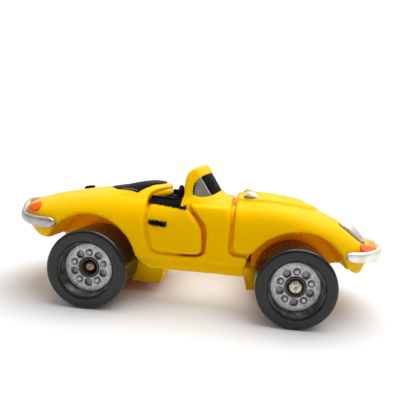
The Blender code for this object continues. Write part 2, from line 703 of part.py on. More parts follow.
def main():
    clear_scene()
    make_panels()
    make_bumpers()
    make_windshield()
    make_cabin()
    make_trim()
    for end, x in (("rear", 0.0), ("front", WHEELBASE)):
        make_axle(f"{end}_axle", x)
        for side, word in ((-1, "right"), (1, "left")):
            make_wheel(x, side, f"{end}_{word}")
    make_motor()
    make_chassis()
    make_screws()
    for obj in bpy.data.objects:
        obj.data.transform(Matrix.Scale(MM, 4))
    for end, x in (("rear", 0.0), ("front", WHEELBASE)):
        starts = (f"{end}_left", f"{end}_right", f"{end}_axle")
        turning = [obj.name for obj in bpy.data.objects if obj.name.startswith(starts)]
        put_origin_on_axis(turning, x, AXLE_Z)
    middle, spring = gear_centres()
    put_origin_on_axis(["drive_pinion"], 0.0, AXLE_Z)
    put_origin_on_axis(["reduction_gear"], *middle)
    put_origin_on_axis(["spring_gear"], *spring)


main()
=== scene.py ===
"""Looks of the pull-back roadster: moulded body, wheels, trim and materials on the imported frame.

Moulded solids are the zero level of a distance field sampled on a fine grid, so that their edges and
grooves come out rounded. Tyres, bushes and axle ends are turned, and the bumpers are swept. Lengths are
in millimetres, and x is measured from the rear axle, until mesh_object() turns them into metres in the
frame's own axes.
"""
import json
import math

import bpy
import numpy as np
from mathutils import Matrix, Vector


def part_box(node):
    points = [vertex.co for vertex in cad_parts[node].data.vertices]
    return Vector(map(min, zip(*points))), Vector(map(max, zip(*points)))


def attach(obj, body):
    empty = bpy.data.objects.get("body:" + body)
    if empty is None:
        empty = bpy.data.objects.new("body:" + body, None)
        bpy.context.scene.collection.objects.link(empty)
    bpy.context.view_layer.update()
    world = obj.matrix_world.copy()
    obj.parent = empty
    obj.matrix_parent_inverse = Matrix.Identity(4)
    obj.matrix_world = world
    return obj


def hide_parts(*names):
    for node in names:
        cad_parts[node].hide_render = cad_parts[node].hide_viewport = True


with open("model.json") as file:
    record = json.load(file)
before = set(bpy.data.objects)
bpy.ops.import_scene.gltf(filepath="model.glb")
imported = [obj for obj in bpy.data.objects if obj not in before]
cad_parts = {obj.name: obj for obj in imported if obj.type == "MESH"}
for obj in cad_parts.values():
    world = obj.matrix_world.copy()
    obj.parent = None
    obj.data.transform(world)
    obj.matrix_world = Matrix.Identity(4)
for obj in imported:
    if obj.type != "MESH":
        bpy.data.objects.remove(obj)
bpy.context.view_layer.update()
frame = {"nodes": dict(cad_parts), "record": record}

MM = 1000.0


def span(node):
    """Lowest and highest corner of a CAD node in millimetres."""
    low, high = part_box(node)
    return low * MM, high * MM


# ------------ driving dimensions, from the frame

REAR_X = sum(corner.x for corner in span("rear_axle")) / 2
FRONT_X = sum(corner.x for corner in span("front_axle")) / 2
WHEELBASE = FRONT_X - REAR_X
AXLE_Z = sum(corner.z for corner in span("rear_axle")) / 2
AXLE_R = AXLE_Z - span("rear_axle")[0].z
TYRE_R = AXLE_Z
TYRE_FACE = span("rear_left_tyre")[1].y
TYRE_INNER = span("rear_left_tyre")[0].y
HUB_R = span("rear_left_hub")[1].z - AXLE_Z
CORE_R = 0.265 * TYRE_R
HUB_WALL = 0.52
HUB_DISC_DEPTH = 1.7
HUB_HOLES = 5
HUB_PITCH_R = 0.39 * TYRE_R
HUB_HOLE_R = 0.76
HUB_POCKET_R = 0.66
HUB_NUB_R = 0.50
BODY_END = -20.4
BODY_NOSE = 61.2
SILL_Z = 8.9
WALL = 1.3
HOLLOW_X = (-9.0, 50.4)
REAR_ARCH = (-0.7, 9.0, 9.5)
FRONT_ARCH = (41.3, 8.2, 10.3)
WELL_WALL_Y = 7.1
APRON = ((-9.6, -8.1, 9.4), (0.0, 8.1, 15.0))
RIM_Z = 22.2
BULKHEAD_X = (8.6, 10.0)
COCKPIT_X = (10.0, 20.2)
COCKPIT_Y = 10.3
COCKPIT_BOW = 2.4
COCKPIT_BOW_HALF = 9.4
COCKPIT_BOW_LOW = 22.2
HOOD_X = 28.0
HOOD_LOWER_Z = 12.9
STEP_END_X = 32.0
HOOD_GAP = 0.55
HOOD_GAP_DEPTH = 0.95
HOOD_EDGE_R = 1.1


# ------------ fields and meshes

class Grid:
    """Sample points in a block of space. A mirrored grid holds the left half, and is doubled later."""

    def __init__(self, low, high, step, mirrored=False):
        if mirrored:
            low = (low[0], step / 2, low[2])
        axes = [np.arange(a, b + step, step) for a, b in zip(low, high)]
        self.step = step
        self.mirrored = mirrored
        self.origin = [axis[0] for axis in axes]
        self.x = axes[0].reshape(-1, 1, 1)
        self.y = axes[1].reshape(1, -1, 1)
        self.z = axes[2].reshape(1, 1, -1)


def soft_max(a, b, r):
    """The larger of two fields, rounded where they meet."""
    h = np.clip(0.5 + 0.5 * (a - b) / r, 0, 1)
    return b + (a - b) * h + r * h * (1 - h)


def soft_min(a, b, r):
    return -soft_max(-a, -b, r)


def ease(value, low, high):
    """0 below low, 1 above high, smooth between."""
    t = np.clip((value - low) / (high - low), 0, 1)
    return t * t * (3 - 2 * t)


def curve(table, x):
    """A smooth curve through a table of (x, value), read at every x."""
    xs = np.array([row[0] for row in table], float)
    vs = np.array([row[1] for row in table], float)
    slopes = np.diff(vs) / np.diff(xs)
    slopes = np.concatenate([slopes[:1], (vs[2:] - vs[:-2]) / (xs[2:] - xs[:-2]), slopes[-1:]])
    i = np.clip(np.searchsorted(xs, x) - 1, 0, len(xs) - 2)
    h = xs[i + 1] - xs[i]
    t = np.clip((x - xs[i]) / h, 0, 1)
    return ((2 * t**3 - 3 * t**2 + 1) * vs[i] + (t**3 - 2 * t**2 + t) * h * slopes[i]
            + (3 * t**2 - 2 * t**3) * vs[i + 1] + (t**3 - t**2) * h * slopes[i + 1])


def rounded(points, share=0.25, rounds=2):
    """A closed outline with its corners cut again and again until they are round."""
    for _ in range(rounds):
        cut = []
        for (ax, ay), (bx, by) in zip(points, points[1:] + points[:1]):
            cut.append((ax + (bx - ax) * share, ay + (by - ay) * share))
            cut.append((bx + (ax - bx) * share, by + (ay - by) * share))
        points = cut
    return points


def outline_distance(points, u, v):
    """Signed distance to a closed outline in the (u, v) plane, negative inside."""
    nearest = np.inf
    inside = np.zeros(np.broadcast(u, v).shape, bool)
    for (ax, ay), (bx, by) in zip(points, points[1:] + points[:1]):
        ex, ey = bx - ax, by - ay
        t = np.clip(((u - ax) * ex + (v - ay) * ey) / (ex * ex + ey * ey), 0, 1)
        nearest = np.minimum(nearest, (u - ax - ex * t)**2 + (v - ay - ey * t)**2)
        if ay != by:
            inside ^= ((ay > v) != (by > v)) & (u < ax + ex * (v - ay) / ey)
    return np.where(inside, -1, 1) * np.sqrt(nearest)


def box_distance(g, low, high):
    """Signed distance to a block between two corners."""
    parts = [np.maximum(a - c, c - b) for a, b, c in zip(low, high, (g.x, g.y, g.z))]
    return np.maximum(np.maximum(parts[0], parts[1]), parts[2])


def as_distance(value, step, reach=3.0):
    """Scales an implicit field to distances near its zero level."""
    slope = np.sqrt(sum(part**2 for part in np.gradient(value, step)))
    return np.clip(value / np.maximum(slope, 1e-3), -reach, reach)


def net(field, origin, step):
    """Points and quads of the field's zero level (naive surface nets)."""
    field = np.pad(field, 2, constant_values=1.0)
    origin = [o - 2 * step for o in origin]
    inside = field < 0
    nx, ny, nz = (n - 1 for n in field.shape)
    steps = [(i, j, k) for i in (0, 1) for j in (0, 1) for k in (0, 1)]
    total = sum(inside[i:nx + i, j:ny + j, k:nz + k].astype(np.int8) for i, j, k in steps)
    cells = np.argwhere((total > 0) & (total < 8))
    index = np.full((nx, ny, nz), -1, np.int64)
    index[tuple(cells.T)] = np.arange(len(cells))
    place = np.zeros((len(cells), 3))
    hits = np.zeros(len(cells))
    for s in steps:
        for axis in range(3):
            if s[axis]:
                continue
            e = tuple(1 if n == axis else s[n] for n in range(3))
            da = field[tuple((cells + s).T)]
            db = field[tuple((cells + e).T)]
            crossed = (da < 0) != (db < 0)
            t = np.where(crossed, da / np.where(crossed, da - db, 1), 0)
            point = np.array(s, float) + t[:, None] * (np.array(e) - s)
            place += np.where(crossed[:, None], point, 0)
            hits += crossed
    points = (cells + place / hits[:, None]) * step + origin
    quads = []
    for axis in range(3):
        u, v = [n for n in range(3) if n != axis]
        ahead = np.roll(inside, -1, axis)
        edges = np.argwhere(inside != ahead)
        edges = edges[(edges > 0).all(1) & (edges < np.array(field.shape) - 1).all(1)]
        ring = []
        for du, dv in ((-1, -1), (0, -1), (0, 0), (-1, 0)):
            at = edges.copy()
            at[:, u] += du
            at[:, v] += dv
            ring.append(index[tuple(at.T)])
        ring = np.stack(ring, 1)
        outward = inside[tuple(edges.T)] == (axis != 1)
        quads.append(np.where(outward[:, None], ring, ring[:, ::-1]))
    return points, np.concatenate(quads)


def relaxed(points, quads, rounds, amount=0.5):
    """Points drawn towards the average of their neighbours, with a push back that keeps the volume."""
    pairs = np.concatenate([quads[:, [0, 1]], quads[:, [1, 2]], quads[:, [2, 3]], quads[:, [3, 0]]])
    count = np.bincount(pairs.ravel(), minlength=len(points))[:, None]
    for i in range(rounds * 2):
        total = np.zeros_like(points)
        for column in range(3):
            total[:, column] = (np.bincount(pairs[:, 0], points[pairs[:, 1], column], len(points))
                                + np.bincount(pairs[:, 1], points[pairs[:, 0], column], len(points)))
        factor = amount if i % 2 == 0 else -amount * 1.06
        points = points + factor * (total / count - points)
    return points


def mesh_object(name, points, faces, mat, body, nodes):
    """A smooth object from millimetre points, standing for the given CAD nodes."""
    mesh = bpy.data.meshes.new(name)
    points = (np.asarray(points, float) + (REAR_X, 0, 0)) / MM
    mesh.from_pydata(points.tolist(), [], faces.tolist() if hasattr(faces, "tolist") else faces)
    mesh.shade_smooth()
    mesh.materials.append(mat)
    obj = bpy.data.objects.new(name, mesh)
    bpy.context.scene.collection.objects.link(obj)
    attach(obj, body)
    if nodes:
        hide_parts(*nodes)
    return obj


def solid(name, grid, field, mat, nodes, body="car_body", smooth=2):
    """The closed solid where the field is negative."""
    field = np.broadcast_to(field, (grid.x.size, grid.y.size, grid.z.size))
    origin = list(grid.origin)
    if grid.mirrored:
        field = np.concatenate([field[:, ::-1], field], 1)
        origin[1] = -origin[1] - grid.step * (grid.y.size - 1)
    points, quads = net(field, origin, grid.step)
    points = relaxed(points, quads, smooth)
    return mesh_object(name, points, quads, mat, body, nodes)


# ------------ materials

def node(tree, kind, inputs=None, **settings):
    """Adds a shader node; inputs may be values or the sockets that feed them."""
    made = tree.nodes.new(kind)
    for key, value in settings.items():
        setattr(made, key, value)
    for key, value in (inputs or {}).items():
        if isinstance(value, bpy.types.NodeSocket):
            tree.links.new(value, made.inputs[key])
        else:
            made.inputs[key].default_value = value
    return made


def new_material(name):
    mat = bpy.data.materials.new(name)
    mat.use_nodes = True
    return mat, mat.node_tree, mat.node_tree.nodes["Principled BSDF"]


def set_inputs(tree, shader, **inputs):
    for key, value in inputs.items():
        socket = shader.inputs[key.replace("_", " ")]
        if isinstance(value, bpy.types.NodeSocket):
            tree.links.new(value, socket)
        else:
            socket.default_value = value


def millimetres(tree):
    """The piece's own coordinates, in millimetres."""
    coords = node(tree, "ShaderNodeTexCoord").outputs["Object"]
    return node(tree, "ShaderNodeVectorMath", {0: coords, 1: (MM, MM, MM)}, operation="MULTIPLY").outputs[0]


def noise(tree, place, scale, detail=3.0, roughness=0.5):
    made = node(tree, "ShaderNodeTexNoise",
                {"Vector": place, "Scale": scale, "Detail": detail, "Roughness": roughness})
    return made.outputs["Fac"]


def remap(tree, value, low, high, to_low=0.0, to_high=1.0):
    made = node(tree, "ShaderNodeMapRange", {"Value": value, "From Min": low, "From Max": high,
                                             "To Min": to_low, "To Max": to_high})
    return made.outputs[0]


def calc(tree, operation, a, b=0.0):
    return node(tree, "ShaderNodeMath", {0: a, 1: b}, operation=operation).outputs[0]


def blend(tree, share, a, b):
    made = node(tree, "ShaderNodeMix", {0: share, 6: a, 7: b}, data_type="RGBA")
    return made.outputs[2]


def bump(tree, height, distance, strength=1.0):
    made = node(tree, "ShaderNodeBump", {"Height": height, "Distance": distance / MM, "Strength": strength})
    return made.outputs[0]


def rgb(r, g, b):
    return (r, g, b, 1.0)


def occlusion(tree, distance):
    """1 on open surfaces, falling to 0 in grooves and wells."""
    made = node(tree, "ShaderNodeAmbientOcclusion", {"Distance": distance / MM}, samples=8)
    return made.outputs["AO"]


def yellow_plastic(name, colour, deep, roughness, glow):
    """Glossy moulding with a faint ripple and dust; painted shade turns it orange in grooves and wells,
    where a painted glow also lights it.
    """
    mat, tree, shader = new_material(name)
    place = millimetres(tree)
    # Painted shade: the deep colour fills grooves and creases, where the short occlusion falls
    open_share = remap(tree, occlusion(tree, 2.2), 0.25, 0.85)
    cloud = remap(tree, noise(tree, place, 0.18), 0.3, 0.7, 0.93, 1.0)
    # Painted shade: bright orange fills wheel wells and deep hollows, where the long occlusion falls
    well_share = remap(tree, occlusion(tree, 7.0), 0.10, 0.50)
    base = blend(tree, open_share, deep, blend(tree, well_share, rgb(0.95, 0.24, 0.0), colour))
    base = blend(tree, remap(tree, cloud, 0.0, 1.0, 1.0, 0.0), base, rgb(0.80, 0.44, 0.0))
    speck = remap(tree, noise(tree, place, 2.1, 1.0), 0.82, 0.84)
    base = blend(tree, calc(tree, "MULTIPLY", speck, 0.3), base, rgb(0.35, 0.2, 0.01))
    ripple = noise(tree, place, 0.45, 1.0)
    grain = noise(tree, place, 9.0, 2.0)
    height = calc(tree, "ADD", ripple, calc(tree, "MULTIPLY", grain, 0.02))
    # Painted glow: the wells give off orange light, as if light shone through the plastic
    through = calc(tree, "MULTIPLY", remap(tree, well_share, 0.0, 1.0, glow, 0.0), open_share)
    set_inputs(tree, shader, Base_Color=base, Normal=bump(tree, height, 0.08),
               Emission_Color=rgb(0.9, 0.30, 0.0), Emission_Strength=through,
               Roughness=remap(tree, noise(tree, place, 1.5), 0.3, 0.7, roughness - 0.05, roughness + 0.06),
               IOR=1.16, Specular_Tint=rgb(1.0, 0.78, 0.1),
               Subsurface_Weight=0.35, Subsurface_Scale=1.2 / MM, Subsurface_Radius=(1.0, 0.35, 0.02))
    return mat


def dark_moulding(name, colour, roughness, grain_scale, grain_depth, gloss=0.3):
    """Black plastic, paint or rubber with a fine grain and dust that lightens it in patches."""
    mat, tree, shader = new_material(name)
    place = millimetres(tree)
    dust = remap(tree, noise(tree, place, 0.5, 3.0), 0.45, 0.75)
    lighter = tuple(c * 1.4 + 0.002 for c in colour)
    set_inputs(tree, shader, Base_Color=blend(tree, dust, rgb(*colour), rgb(*lighter)), IOR=1.0 + gloss,
               Roughness=remap(tree, dust, 0.0, 1.0, roughness, roughness + 0.12),
               Normal=bump(tree, noise(tree, place, grain_scale, 2.0), grain_depth))
    return mat


def silver_paint():
    """Metallic silver sprayed on plastic: speckled, and darkened by painted shade in its corners and holes.
    """
    mat, tree, shader = new_material("hub_silver_paint")
    place = millimetres(tree)
    fine = noise(tree, place, 7.5, 2.0, 0.7)
    patches = noise(tree, place, 1.1, 2.0)
    grain = remap(tree, calc(tree, "ADD", fine, calc(tree, "MULTIPLY", patches, 0.35)), 0.38, 0.80)
    # Painted shade: the silver turns near black in corners, holes and pockets, where the occlusion falls
    open_share = remap(tree, occlusion(tree, 1.1), 0.40, 0.92)
    shade = calc(tree, "MULTIPLY", grain, open_share)
    set_inputs(tree, shader, Base_Color=blend(tree, shade, rgb(0.03, 0.03, 0.03), rgb(0.74, 0.74, 0.73)),
               Metallic=0.55, Roughness=remap(tree, fine, 0.3, 0.7, 0.30, 0.48),
               Normal=bump(tree, fine, 0.05))
    return mat


def plating(name, bright, dull, metallic, roughness, speckle):
    """Plated or sprayed silver: slightly rippled, with dull patches and dark specks."""
    mat, tree, shader = new_material(name)
    place = millimetres(tree)
    patches = remap(tree, noise(tree, place, 0.5, 3.0), 0.4, 0.7)
    fine = noise(tree, place, 1.6, 2.0)
    base = blend(tree, patches, rgb(*bright), rgb(*dull))
    specks = remap(tree, noise(tree, place, 5.0, 2.0), 0.66, 0.72)
    base = blend(tree, calc(tree, "MULTIPLY", specks, speckle), base, rgb(0.16, 0.15, 0.12))
    set_inputs(tree, shader, Base_Color=base, Metallic=metallic,
               Roughness=remap(tree, fine, 0.3, 0.7, roughness, roughness + 0.18),
               Normal=bump(tree, noise(tree, place, 1.2, 2.0), 0.06))
    return mat


def lamp_paint(name, colour, paler):
    """Brushed lamp paint, paler in patches."""
    mat, tree, shader = new_material(name)
    place = millimetres(tree)
    patches = remap(tree, noise(tree, place, 1.3, 2.0), 0.35, 0.7)
    set_inputs(tree, shader, Base_Color=blend(tree, patches, rgb(*colour), rgb(*paler)),
               Roughness=0.3, IOR=1.15, Normal=bump(tree, noise(tree, place, 2.0), 0.08))
    return mat


def steel(name, colour, speckle):
    """Turned metal with tool marks and dark specks."""
    mat, tree, shader = new_material(name)
    place = millimetres(tree)
    spots = remap(tree, noise(tree, place, 3.2, 2.0), 0.56, 0.62)
    base = blend(tree, calc(tree, "MULTIPLY", spots, speckle), rgb(*colour), rgb(0.05, 0.035, 0.02))
    set_inputs(tree, shader, Base_Color=base, Metallic=0.8,
               Roughness=remap(tree, noise(tree, place, 2.0), 0.3, 0.7, 0.25, 0.45),
               Normal=bump(tree, noise(tree, place, 6.0), 0.03))
    return mat


# The deep colours are painted shade for grooves; the last figure is the strength of the painted glow in the
# wells, none on the chassis
YELLOW = yellow_plastic("yellow_moulding", rgb(0.90, 0.52, 0.0), rgb(0.85, 0.22, 0.0), 0.28, 0.30)
YELLOW_BASE = yellow_plastic("chassis_moulding", rgb(0.62, 0.37, 0.0), rgb(0.42, 0.17, 0.0), 0.38, 0.0)
BLACK_PAINT = dark_moulding("black_paint", (0.005, 0.005, 0.004), 0.20, 2.0, 0.05, 0.06)
BLACK_PLASTIC = dark_moulding("black_moulding", (0.008, 0.008, 0.007), 0.40, 5.0, 0.04, 0.12)
RUBBER = dark_moulding("tyre_rubber", (0.006, 0.006, 0.005), 0.22, 3.0, 0.02, 0.45)
GLASS = dark_moulding("dark_glass", (0.003, 0.003, 0.003), 0.10, 1.0, 0.02, 0.06)
SIDE_GLASS = dark_moulding("grey_glass", (0.19, 0.19, 0.18), 0.25, 1.0, 0.02, 0.1)
HUB = silver_paint()
CHROME = plating("silver_plating", (0.92, 0.91, 0.86), (0.74, 0.71, 0.58), 0.6, 0.28, 0.0)
# A darker copy of the silver plating, for the rear bumper
DARKER_SILVER = plating("darker_silver_plating", (0.52, 0.47, 0.42), (0.38, 0.33, 0.28), 0.75, 0.28, 0.2)
VENT = plating("vent_silver", (0.90, 0.88, 0.80), (0.80, 0.76, 0.60), 0.3, 0.30, 0.5)
DARK_EDGE = dark_moulding("dark_outline", (0.13, 0.115, 0.07), 0.4, 4.0, 0.02)
TAIL_PAINT = lamp_paint("orange_lamp_paint", (0.95, 0.075, 0.0), (0.90, 0.15, 0.0))
INDICATOR_PAINT = lamp_paint("coral_lamp_paint", (0.92, 0.14, 0.05), (0.88, 0.22, 0.07))
LENS = steel("lens_silver", (0.80, 0.74, 0.68), 0.2)
STEEL = steel("axle_steel", (0.62, 0.58, 0.48), 0.9)
# Painted shade: the recessed rear axle ends get a darker, browner copy of the axle steel, for the shade at
# the bottom of their holes
SHADED_AXLE_END = steel("shaded_rear_axle_end", (0.34, 0.22, 0.15), 0.6)
# A much darker copy of the hub's silver, for the stepped wall inside each rim
DARK_HUB_WALL = plating("dark_hub_wall", (0.04, 0.04, 0.038), (0.17, 0.17, 0.165), 0.5, 0.22, 0.6)
BUSH = dark_moulding("bush_moulding", (0.060, 0.055, 0.048), 0.35, 4.0, 0.03, 0.4)
NYLON = dark_moulding("gear_nylon", (0.55, 0.54, 0.48), 0.45, 4.0, 0.02)

NODE_MATERIALS = {
    "yellow_plastic": YELLOW, "chassis_plastic": YELLOW_BASE, "black_paint": BLACK_PAINT,
    "black_plastic": BLACK_PLASTIC, "tyre_rubber": RUBBER, "hub_silver": HUB, "silver_trim": CHROME,
    "clear_lens": LENS, "dark_glass": GLASS, "orange_lamp": TAIL_PAINT, "steel": STEEL, "gear_nylon": NYLON,
}


def dress_cad_nodes():
    """Gives every CAD node the detailed material of its slot."""
    for row in frame["record"]["subparts"]:
        obj = frame["nodes"][row["node"]]
        obj.data.materials.clear()
        obj.data.materials.append(NODE_MATERIALS[row["material_slot"]])


# ------------ the body's surface

HALF_WIDTH = [(-7.0, 14.7), (0.0, 15.4), (6.0, 15.1), (11.0, 14.2), (24.0, 14.0), (30.0, 14.3),
              (36.0, 15.2), (42.0, 15.4), (46.0, 14.9)]
TOP_Z = [(-20.4, 18.2), (-18.0, 19.3), (-14.0, 20.8), (-8.0, 22.2), (-2.0, 23.2), (3.0, 23.6),
         (10.0, 23.5), (16.0, 23.4), (22.0, 23.5), (28.0, 23.2), (34.0, 23.4), (40.0, 23.0),
         (46.0, 21.8), (50.0, 20.5), (54.0, 18.3), (58.0, 15.9), (61.2, 13.9)]
BOTTOM_Z = [(-20.4, 17.2), (-17.5, 16.2), (-14.5, 14.0), (-12.0, 12.8), (-9.0, 12.4), (-5.0, 10.0),
            (0.0, SILL_Z), (8.0, SILL_Z - 0.8), (12.0, SILL_Z - 0.9), (22.0, SILL_Z - 0.9),
            (31.0, SILL_Z - 0.9), (34.0, SILL_Z + 0.3), (44.0, SILL_Z + 0.4), (49.0, 10.8),
            (52.0, 11.2), (53.2, 10.4), (54.8, 10.3), (55.8, 11.7), (58.0, 12.3), (61.2, 12.8)]
MIDDLE_Z = [(-20.4, 17.6), (-14.0, 16.5), (-6.0, 15.0), (8.0, 14.0), (30.0, 13.5), (46.0, 14.0),
            (54.0, 13.5), (61.2, 13.3)]
BOXINESS = [(-20.4, 2.4), (-8.0, 2.8), (8.0, 3.3), (17.0, 3.6), (21.0, 4.9), (27.0, 4.9),
            (30.0, 3.9), (38.0, 4.3), (50.0, 3.1), (61.2, 2.4)]
TAIL_ROUND_START = -7.0
NOSE_ROUND_START = 46.0
# Half width of the raised hood panel, from the gap to its rounded front
HOOD_PANEL = [(26.0, 8.2), (30.0, 8.8), (38.0, 9.6), (43.0, 8.2), (46.0, 4.9), (47.4, 0.6)]
HOOD_PANEL_RISE = 0.6
# Raised areas: start, end, run-in, run-out, half width, height, squareness
BULGE = (29.0, 47.0, 1.5, 4.0, 4.8, 0.45, 6)
HUMP = (0.0, 15.5, 8.0, 7.0, 11.2, 1.5, 3.5)


def half_width(x):
    tail = np.clip((TAIL_ROUND_START - x) / (TAIL_ROUND_START - BODY_END), 0, 0.9995)
    nose = np.clip((x - NOSE_ROUND_START) / (BODY_NOSE - NOSE_ROUND_START), 0, 0.9995)
    return curve(HALF_WIDTH, x) * (1 - tail**2)**0.5 * (1 - nose**1.7)**(1 / 1.7)


def raised(x, y):
    on_panel = ease(curve(HOOD_PANEL, x) - np.abs(y), 0.0, 0.9) * ease(x, 27.0, 28.0)
    total = HOOD_PANEL_RISE * on_panel * ease(-x, -47.6, -46.8)
    for start, end, run_in, run_out, half, height, square in (BULGE, HUMP):
        along = ease(x, start, start + run_in) * ease(-x, -end, -end + run_out)
        total = total + height * along * np.clip(1 - np.abs(y / half)**square, 0, 1)
    return total


def side_relief(x, z):
    """Steps pressed into the body's sides: the rocker below the doors and the band over the cowl panel."""
    rocker = 0.45 * ease(-z, -10.75, -10.35) * (1 - 0.75 * ease(x, 12.0, 18.0) * ease(-x, -25.0, -23.0))
    rocker = rocker * ease(x, 5.0, 7.0) * ease(-x, -34.0, -32.0)
    band = 0.40 * ease(z, 21.55, 21.95) * ease(x, 18.0, 21.5) * ease(-x, -28.6, -27.6)
    return rocker + band


def body_distance(g):
    """Distances to the car's upper surface and to the level of its lower edge, before any cuts."""
    x, y, z = g.x, np.abs(g.y), g.z
    width, middle, top = half_width(x), curve(MIDDLE_Z, x), curve(TOP_Z, x)
    bottom, power = curve(BOTTOM_Z, x), curve(BOXINESS, x)
    rise = np.clip((z - raised(x, y) - middle) / (top - middle), 0, None)
    sink = np.clip((middle - z) / (middle - bottom), 0, 1)
    side = y / (width * (1 - 0.05 * sink**2))
    value = (side**power + rise**power)**(1 / power) - 1
    distance = as_distance(value, g.step) + side_relief(x, z)
    distance = np.maximum(distance, np.maximum(BODY_END - x, x - BODY_NOSE))
    return distance, bottom - z


def surface_z(x, y):
    """Height of the body's upper surface."""
    middle, top, power = (curve(table, x) for table in (MIDDLE_Z, TOP_Z, BOXINESS))
    share = (1 - (abs(y) / half_width(x))**power)**(1 / power)
    return float(middle + (top - middle) * share + raised(x, y))


def arch_distance(g, arch):
    cx, cz, radius = arch
    return np.hypot(g.x - cx, g.z - cz) - radius


def cockpit_rear(g):
    """Where the cockpit's rear wall stands: its upper part bows forward in the middle."""
    bow = COCKPIT_BOW * np.clip(1 - (g.y / COCKPIT_BOW_HALF)**2, 0, 1)
    return COCKPIT_X[0] + bow * ease(g.z, COCKPIT_BOW_LOW - 0.4, COCKPIT_BOW_LOW)


def skirt_corner(g):
    """Cuts off the rear lower corner of the skirt, behind which the wheel stands."""
    slope = -0.68 * (g.x - 9.4) - 0.73 * (g.z - 9.7)
    return np.minimum(np.minimum(slope, 10.3 - g.z), np.abs(g.y) - 9.0)


def shell_distance(g):
    """The hollow body with its wheel wells, before it is split into panels."""
    outer, below = body_distance(g)
    y = np.abs(g.y)
    hollow = np.maximum(outer + WALL, np.maximum(HOLLOW_X[0] - g.x, g.x - HOLLOW_X[1]))
    for arch in (REAR_ARCH, FRONT_ARCH):
        liner = np.maximum(arch_distance(g, arch) - 1.0, WELL_WALL_Y - y)
        hollow = np.maximum(hollow, -liner)
    bulkhead = np.maximum(np.maximum(BULKHEAD_X[0] - g.x, g.x - cockpit_rear(g)), 15.0 - g.z)
    hollow = np.maximum(hollow, -bulkhead)
    shell = np.maximum(soft_max(outer, below, 0.8), -hollow)
    shell = soft_max(shell, skirt_corner(g), 0.5)
    shell = np.minimum(shell, box_distance(g, *APRON))
    for arch, axle_x in ((REAR_ARCH, 0.0), (FRONT_ARCH, WHEELBASE)):
        well = np.maximum(arch_distance(g, arch), WELL_WALL_Y + 1.0 - y)
        shell = soft_max(shell, -well, 0.7)
        shell = np.maximum(shell, AXLE_R + 0.8 - np.hypot(g.x - axle_x, g.z - AXLE_Z))
    return np.minimum(shell, arch_ribs(g))


def arch_ribs(g):
    """Short ribs across the roof of each front wheel well."""
    cx, cz, radius = FRONT_ARCH
    ribs = np.inf
    for x in np.arange(37.6, 42.0, 0.85):
        lean = (x - cx) / radius
        across = np.abs(g.x - x - lean * (g.z - cz - radius)) - 0.2
        ribs = np.minimum(ribs, across)
    depth = np.abs(arch_distance(g, FRONT_ARCH) + 0.1) - 0.55
    return np.maximum(np.maximum(ribs, depth), np.maximum(8.5 - np.abs(g.y), np.abs(g.y) - 13.2))


DOOR = [(10.2, 19.3), (10.5, 17.0), (11.1, 14.6), (11.7, 12.4), (13.0, 11.8), (18.2, 11.6),
        (22.2, 11.8), (22.2, 14.6), (21.9, 17.2), (20.8, 18.9), (19.2, 20.3), (17.9, 21.5),
        (17.5, 24.0), (10.6, 24.0)]
DOOR_RECESS_DEPTH = (0.55, 1.15)
# The recess round the door is wider in front of it than behind
DOOR_RECESS = [(9.9, 19.5), (10.2, 17.0), (10.8, 14.4), (11.5, 12.1), (13.0, 11.6), (18.2, 11.4),
               (22.7, 11.6), (22.8, 14.6), (22.8, 17.6), (21.4, 19.3), (19.6, 20.9), (18.0, 22.2),
               (17.8, 24.0), (10.3, 24.0)]


def hood_side(g):
    """Distance into the region of the front clip, seen from the side: an L with rounded corners."""
    upper = soft_max(HOOD_X - g.x, HOOD_LOWER_Z - g.z, 1.6)
    return soft_min(upper, STEP_END_X - g.x, 0.6)


def groove_floor(outer, edge, depth):
    """A strip of wall under a groove, so that the groove has a floor at the given depth."""
    return np.maximum(edge, np.maximum(outer + depth, -outer - depth - WALL))


def make_body():
    grid = Grid((-21.4, 0, 7.5), (62.2, 16.4, 27.5), 0.22, mirrored=True)
    x, y, z = grid.x, np.abs(grid.y), grid.z
    shell = shell_distance(grid)
    outer, below = body_distance(grid)
    front = hood_side(grid)
    hood = soft_max(shell, front + 0.1, HOOD_EDGE_R)
    body = soft_max(shell, HOOD_GAP - 0.1 - front, HOOD_EDGE_R)
    recess = outline_distance(rounded(DOOR_RECESS), x, z) + 0 * y
    hood_floor = groove_floor(outer, np.abs(front - 0.2) - 1.3, HOOD_GAP_DEPTH)
    hood_floor = np.maximum(hood_floor, 0.3 - arch_distance(grid, FRONT_ARCH))
    shallow, deep = DOOR_RECESS_DEPTH
    depth = shallow + (deep - shallow) * ease(x, 16.5, 19.5)
    door_floor = groove_floor(outer, recess - 1.2, depth)
    body = np.minimum(body, np.maximum(np.minimum(hood_floor, door_floor), below + 0.6))
    rear = cockpit_rear(grid) - x
    rim = np.maximum(np.maximum(rear, x - COCKPIT_X[1] - 0.4), RIM_Z - z)
    body = soft_max(body, -rim, 0.6)
    opening = np.maximum(box_distance(grid, (COCKPIT_X[0], -1, 14), (COCKPIT_X[1], COCKPIT_Y, 40)), rear)
    body = soft_max(body, -opening, 0.5)
    body = soft_max(body, -np.maximum(recess, -outer - depth), 0.9)
    solid("body_moulding", grid, body, YELLOW, ["body_shell"])
    solid("front_clip", grid, hood, YELLOW, ["hood"])


def make_doors():
    for side, word in ((-1, "right"), (1, "left")):
        low_y, high_y = sorted((side * 10.0, side * 16.0))
        grid = Grid((9.0, low_y, 10.5), (24.0, high_y, 24.0), 0.15)
        outer, _ = body_distance(grid)
        edge = outline_distance(rounded(DOOR), grid.x, grid.z)
        door = soft_max(outer + 0.02, edge, 1.2)
        door = np.maximum(door, np.maximum(10.8 - np.abs(grid.y), grid.z - RIM_Z))
        solid(f"door_panel_{word}", grid, door, YELLOW, [f"door_{word}"])


# ------------ pieces set into the body

